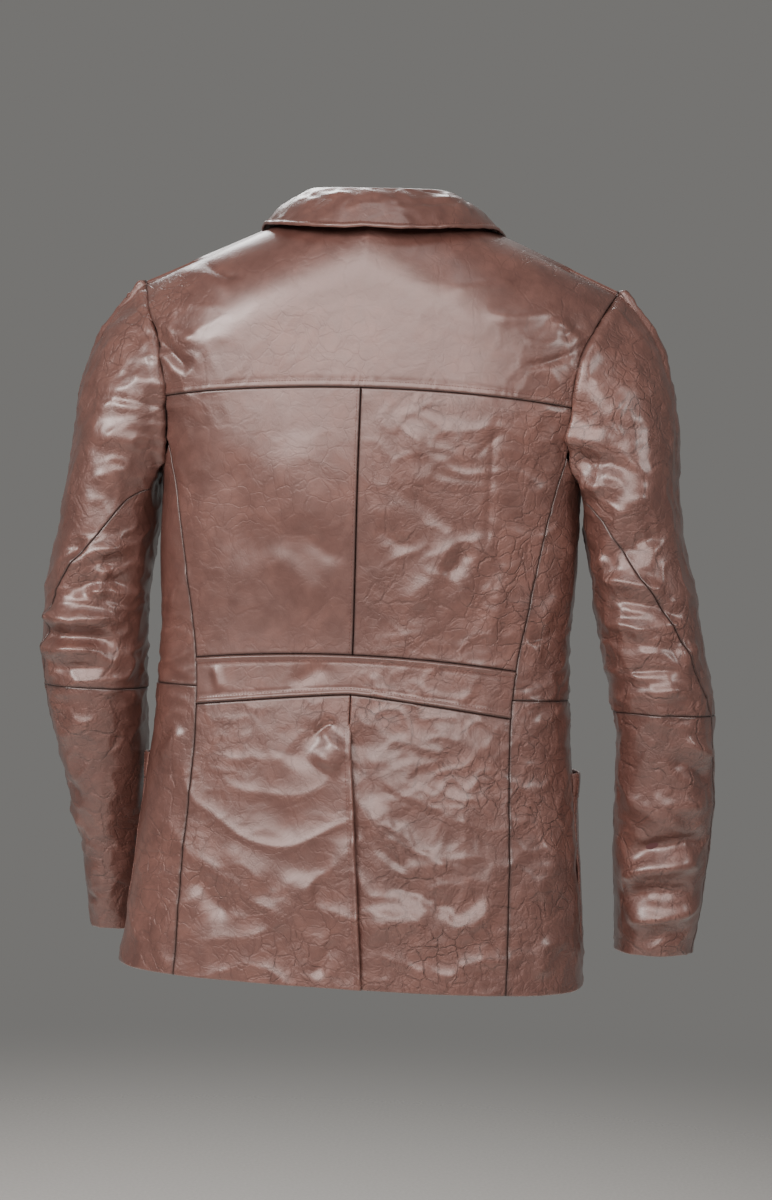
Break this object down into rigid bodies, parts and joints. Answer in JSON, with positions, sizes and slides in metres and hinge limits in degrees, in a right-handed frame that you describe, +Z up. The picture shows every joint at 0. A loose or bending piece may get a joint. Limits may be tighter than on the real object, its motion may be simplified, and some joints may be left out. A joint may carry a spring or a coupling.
{
  "type": "leather blazer",
  "caption": "Brown leather blazer with collar, back yoke, half belt, centre vent, patch pockets and two-piece sleeves, hanging open.",
  "frame": {"origin": "middle of the neck hole, level with the neck ends of the shoulder seams, where a hanger or a neck carries the coat", "axes": "+Z up, the front faces -Y and the back +Y, the wearer's left is +X"},
  "size_m": [0.6769, 0.2472, 0.7747],
  "materials": {
    "shell": "glazed cowhide",
    "facing": "plain leather",
    "lining": "satin",
    "button": "leather covered"
  },
  "bodies": {
    "torso": {"back_yoke": "shell", "upper_back_left": "shell", "upper_back_right": "shell", "back_belt": "shell", "back_skirt_left": "shell", "back_skirt_right": "shell", "side_panel_upper_left": "shell", "side_panel_upper_right": "shell", "side_panel_lower_left": "shell", "side_panel_lower_right": "shell", "front_left": "shell", "front_right": "shell", "front_facing_left": "facing", "front_facing_right": "facing", "back_neck_facing": "facing", "back_lining": "lining", "side_lining_left": "lining", "side_lining_right": "lining", "shoulder_pad_left": "lining", "shoulder_pad_right": "lining", "collar_fall": "shell", "collar_stand": "shell", "hanging_loop": "facing", "patch_pocket_left": "shell", "patch_pocket_right": "shell", "front_button_top": "button"},
    "vent_flap": {"back_vent_flap": "shell"},
    "corner_left": {"front_corner_left": "shell", "corner_facing_left": "facing"},
    "corner_right": {"front_corner_right": "shell", "corner_facing_right": "facing", "front_button_lower": "button"},
    "left_lapel": {"lapel_left": "shell"},
    "right_lapel": {"lapel_right": "shell"},
    "upper_sleeve_left": {"top_sleeve_upper_left": "shell", "under_sleeve_upper_left": "shell", "sleeve_lining_upper_left": "lining"},
    "lower_sleeve_left": {"top_sleeve_lower_left": "shell", "under_sleeve_lower_left": "shell", "sleeve_lining_lower_left": "lining"},
    "upper_sleeve_right": {"top_sleeve_upper_right": "shell", "under_sleeve_upper_right": "shell", "sleeve_lining_upper_right": "lining"},
    "lower_sleeve_right": {"top_sleeve_lower_right": "shell", "under_sleeve_lower_right": "shell", "sleeve_lining_lower_right": "lining"}
  },
  "joints": [
    {"name": "sleeve_raise_left", "type": "hinge", "parent": "torso", "child": "upper_sleeve_left", "pos_m": [0.2405, 0, -0.064], "axis": [0, -1, 0], "range_deg": [0, 40]},
    {"name": "sleeve_raise_right", "type": "hinge", "parent": "torso", "child": "upper_sleeve_right", "pos_m": [-0.2405, 0, -0.064], "axis": [0, 1, 0], "range_deg": [0, 40]},
    {"name": "elbow_bend_left", "type": "hinge", "parent": "upper_sleeve_left", "child": "lower_sleeve_left", "pos_m": [0.272, -0.025, -0.476], "axis": [-1, 0, 0], "range_deg": [0, 62]},
    {"name": "elbow_bend_right", "type": "hinge", "parent": "upper_sleeve_right", "child": "lower_sleeve_right", "pos_m": [-0.299, -0.025, -0.476], "axis": [-1, 0, 0], "range_deg": [0, 62]},
    {"name": "corner_open_left", "type": "hinge", "parent": "torso", "child": "corner_left", "pos_m": [0.009, -0.08613, -0.364], "axis": [-0.2758, 0.0038, 0.9612], "range_deg": [0, 70]},
    {"name": "corner_open_right", "type": "hinge", "parent": "torso", "child": "corner_right", "pos_m": [-0.009, -0.08613, -0.364], "axis": [-0.2758, -0.0038, -0.9612], "range_deg": [0, 70]},
    {"name": "vent_flap_lift", "type": "hinge", "parent": "torso", "child": "vent_flap", "pos_m": [0.00025, 0.08647, -0.5], "axis": [0.317, 0.0616, -0.9464], "range_deg": [0, 40]},
    {"name": "lapel_lift_left", "type": "hinge", "parent": "torso", "child": "left_lapel", "pos_m": [0.0095, -0.08856, -0.338], "axis": [-0.1834, -0.016, -0.9829], "range_deg": [0, 45]},
    {"name": "lapel_lift_right", "type": "hinge", "parent": "torso", "child": "right_lapel", "pos_m": [-0.0095, -0.08856, -0.338], "axis": [-0.1834, 0.016, 0.9829], "range_deg": [0, 45]}
  ]
}
